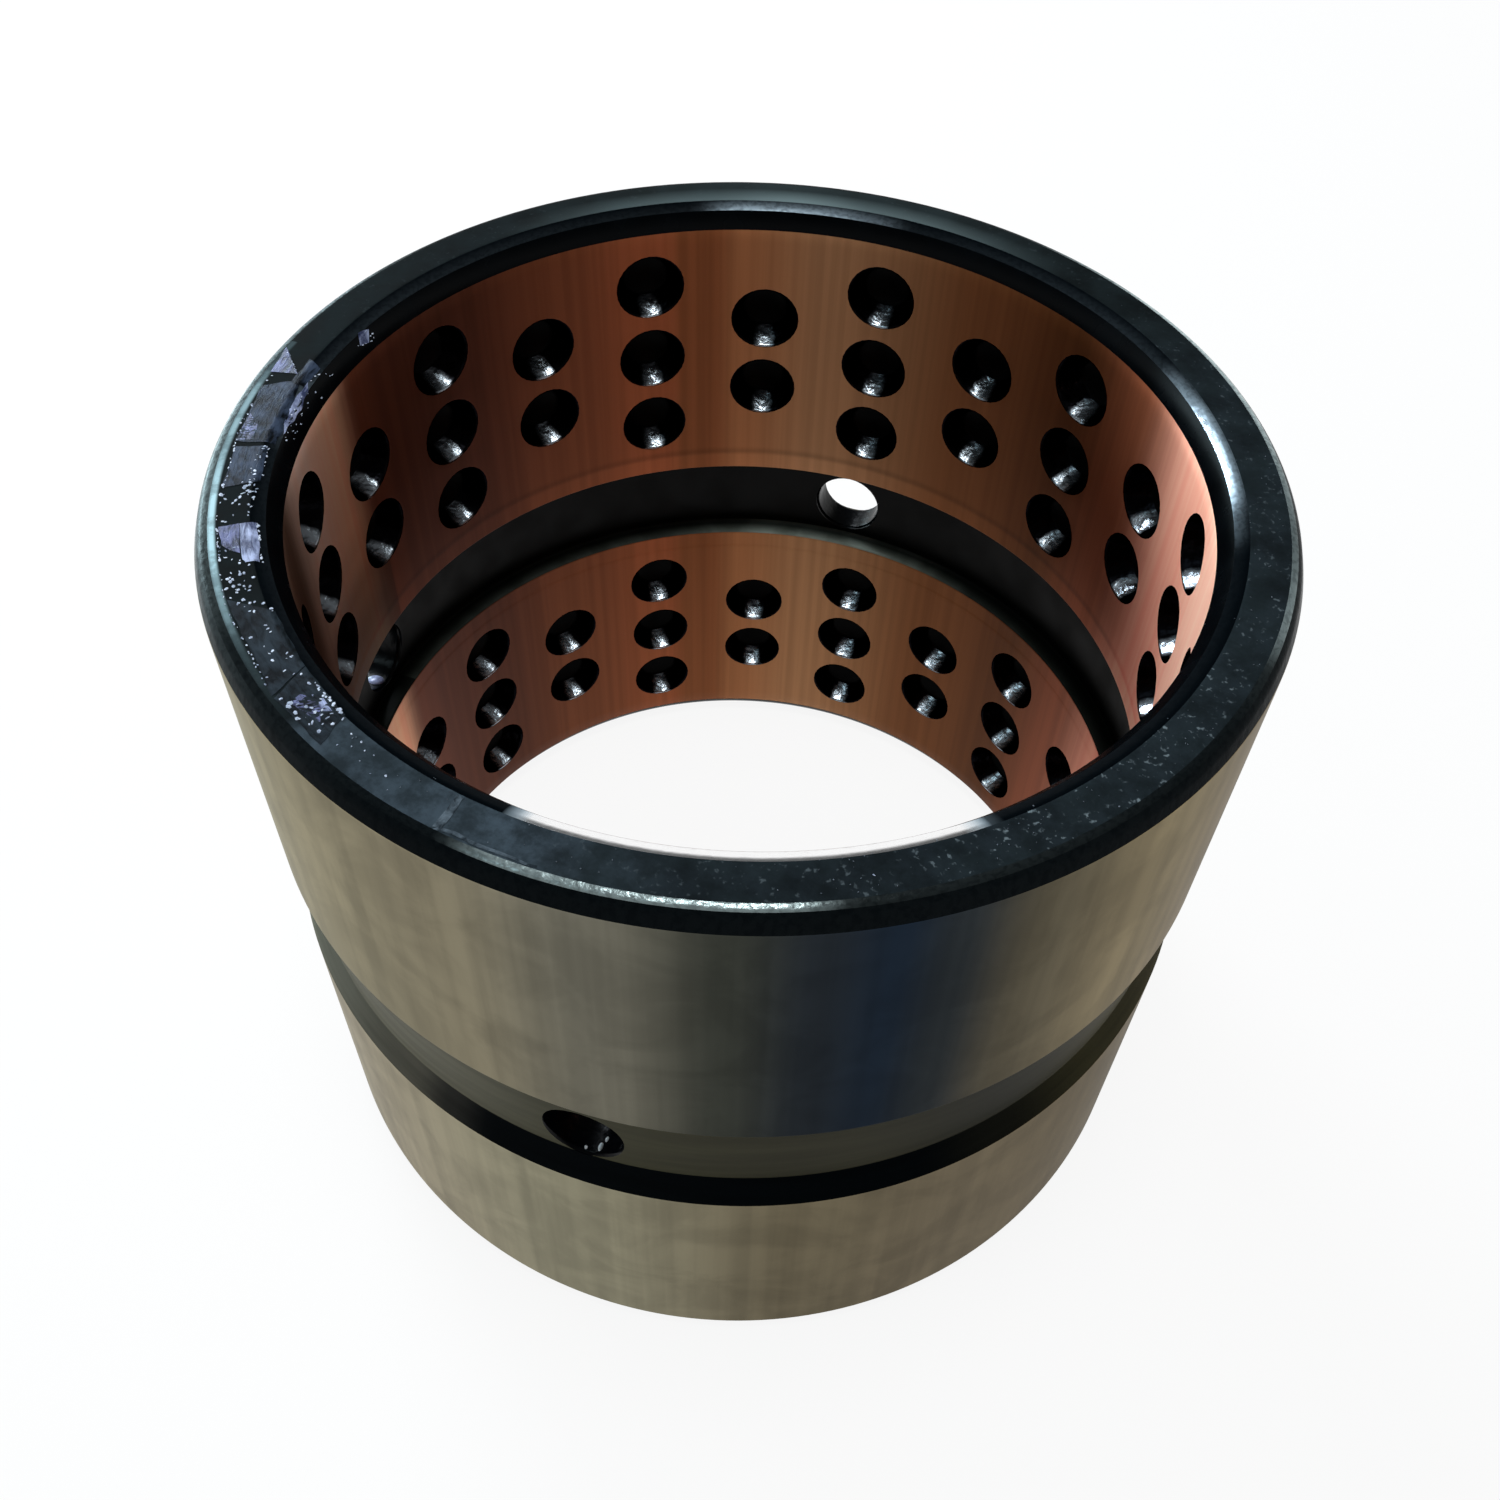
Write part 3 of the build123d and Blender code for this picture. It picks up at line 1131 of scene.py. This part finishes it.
for edge in (((212.9, 41.6), (219.4, 41.6), 22, 0.26), ((181.4, 45.5), (185.6, 42.6), 12, 0.14),
             ((199.5, 41.7), (205.8, 41.6), 12, 0.2), ((213.0, 44.8), (224.0, 45.1), 20, 0.24),
             ((224.2, 45.1), (238.6, 45.3), 20, 0.2), ((239.2, 42.1), (244.8, 42.3), 14, 0.24),
             ((197.0, 44.8), (212.0, 44.9), 22, 0.2)):
    bright.extend(fringe(*edge))
dull = []
for patch in ((262, 300, 42.0, 45.0, 14, 0.12), (295, 345, 41.9, 45.2, 60, 0.13),
              (345, 385, 42.0, 45.2, 24, 0.12), (240, 262, 42.0, 45.0, 16, 0.12),
              (26, 60, 42.0, 45.2, 10, 0.1)):
    dull.extend(scatter(*patch))
gather("film_crumbs", glinting_crumb_film, bright)
gather("dust", dust_grain, dull)
bpy.data.objects.remove(crumb)

# %% [markdown]
# Beads of oil lie low in two of the grease holes, pale so that they paint the
# light there: white glints in the front hole, and in the left hole a lilac bead
# that is a painted reflection. A drop could be a metaball, but these are so small
# that a sphere does: made flat, turned to the slope of the wall, and sunk half
# into it.

# %% Oil beads
# painted reflection and painted glints: the bead finishes are pale
oil = film("oil", (92, 94, 120), (172, 176, 212), 0.16, 1.5, 0.02)
oil_glint = film("oil_glint", (205, 214, 218), (246, 250, 252), 0.16, 1.5, 0.02)
left_hole, front_hole = 2, 3


def oil_bead(quarter, radius, aside, long, wide, tall):
    """A bead in a hole: its radius from the bore axis and place aside, in MM."""
    piece = start("oil_bead", bpy.ops.mesh.primitive_uv_sphere_add, segments=20, ring_count=12,
                  radius=1)
    bpy.ops.transform.resize(value=(long / 2 * MM, wide / 2 * MM, tall / 2 * MM))
    bpy.ops.transform.rotate(value=-atan2(aside * MM, hole_r), orient_axis="X",
                             center_override=(0, 0, 0))
    fall = (hole_r / MM) ** 2 - aside ** 2
    bpy.ops.transform.translate(value=(radius * MM, aside * MM, hole_level - fall ** 0.5 * MM))
    finish_edit()
    piece.rotation_euler.z = radians(hole_turn + 90 * quarter)
    bpy.ops.object.transform_apply()
    bpy.ops.object.shade_smooth()
    piece.data.materials.append(oil if quarter == left_hole else oil_glint)
    return piece


join_as("oil_beads", [oil_bead(*bead) for bead in (
    (front_hole, 45.45, -0.1, 0.34, 0.3, 0.3), (front_hole, 45.1, 1.2, 0.85, 0.45, 0.5),
    (front_hole, 44.3, 1.5, 0.55, 0.34, 0.35), (left_hole, 43.6, 0.6, 2.0, 1.7, 0.6))])

# %% [markdown]
# To the camera and in reflections the floor is nearly pure white, which a lit
# floor would only reach with lamps too strong for the bushing. So a glow is
# mixed in for those rays alone, and the matt part of the mix keeps the shadow.

# %% Floor
glow_share = 0.9
bpy.ops.mesh.primitive_plane_add(size=4)
floor = bpy.context.object
floor.name = "floor"
made = bpy.data.materials.new("pale_floor")
made.use_nodes = True
tree = made.node_tree
tree.nodes.remove(tree.nodes["Principled BSDF"])
path = add("LightPath").outputs
seen = calc("MAXIMUM", calc("MAXIMUM", path["Is Camera Ray"], path["Is Glossy Ray"]),
            path["Is Transmission Ray"])
matt = add("BsdfDiffuse", {"Color": grey(0.9)})
glow = add("Emission", {"Color": grey(1.0), "Strength": 1.0})
both = add("MixShader", {0: calc("MULTIPLY", seen, glow_share), 1: matt.outputs[0],
                         2: glow.outputs[0]})
tree.links.new(both.outputs[0], tree.nodes["Material Output"].inputs["Surface"])
floor.data.materials.append(made)
print(f"floor {floor.dimensions.x:.0f} m square")

# %% [markdown]
# The world is white near the horizon and dim overhead, so that the polished
# faces mirror a bright room low down and the dark face stays dark.

# %% World
world = bpy.data.worlds.new("studio")
bpy.context.scene.world = world
world.use_nodes = True
tree = world.node_tree
tree.nodes.clear()
toward = add("TexCoord").outputs["Generated"]
light = add("MapRange", {"Value": level_of(toward), "From Min": 0.1, "From Max": 0.5,
                         "To Min": 1.0, "To Max": 0.09}, interpolation_type="SMOOTHSTEP")
sky = add("Background", {"Color": grey(1.0), "Strength": light.outputs[0]})
add("OutputWorld", {"Surface": sky.outputs[0]})

# %% [markdown]
# Each lamp is a soft rectangle that faces the bushing, placed by its turn and
# its height in degrees, because that is also where its reflection shows. The
# ceiling lights the rim and the pockets, two windows put the sheen on the copper
# and the steel, and a side glow lights the left rim.

# %% Lamps
def lamp(name, round_deg, up_deg, distance, width, tall, radiance, tint):
    """A soft rectangular lamp that faces the bushing from a direction."""
    round_, up = radians(round_deg), radians(up_deg)
    place = Vector((cos(round_) * cos(up), sin(round_) * cos(up), sin(up))) * distance
    place.z += mid
    bpy.ops.object.light_add(type="AREA", location=place)
    made, light = bpy.context.object, bpy.context.object.data
    made.name = name
    light.shape, light.size, light.size_y = "RECTANGLE", width, tall
    light.energy, light.color = radiance * pi * width * tall, tint
    made.rotation_euler = (Vector((0, 0, mid)) - place).to_track_quat("-Z", "Y").to_euler()
    made.visible_camera = False
    print(f"{name}: {light.energy:.2f} W")


lamp("ceiling_lamp", -71, 89.9, 1.0, 0.40, 0.42, 4.0, (0.95, 0.99, 1.0))
lamp("ceiling_bulb", -71, 89.9, 0.98, 0.16, 0.22, 20, (0.97, 1.0, 1.0))
lamp("high_window", 138, 37, 0.8, 0.26, 0.22, 18, (0.85, 0.93, 1.0))
lamp("side_glow", 222, 54, 0.9, 0.22, 0.30, 2.5, (0.70, 0.92, 1.0))
lamp("low_window", 155, 8, 0.5, 0.35, 0.24, 9, (0.68, 0.92, 1.0))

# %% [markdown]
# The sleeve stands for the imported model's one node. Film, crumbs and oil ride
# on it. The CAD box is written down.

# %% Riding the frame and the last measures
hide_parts(NODE)
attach(body, "root")
for piece in film_pieces:
    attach(piece, "root")
print("CAD box", cad_low, cad_high)
bpy.context.scene.view_settings.view_transform = "Standard"
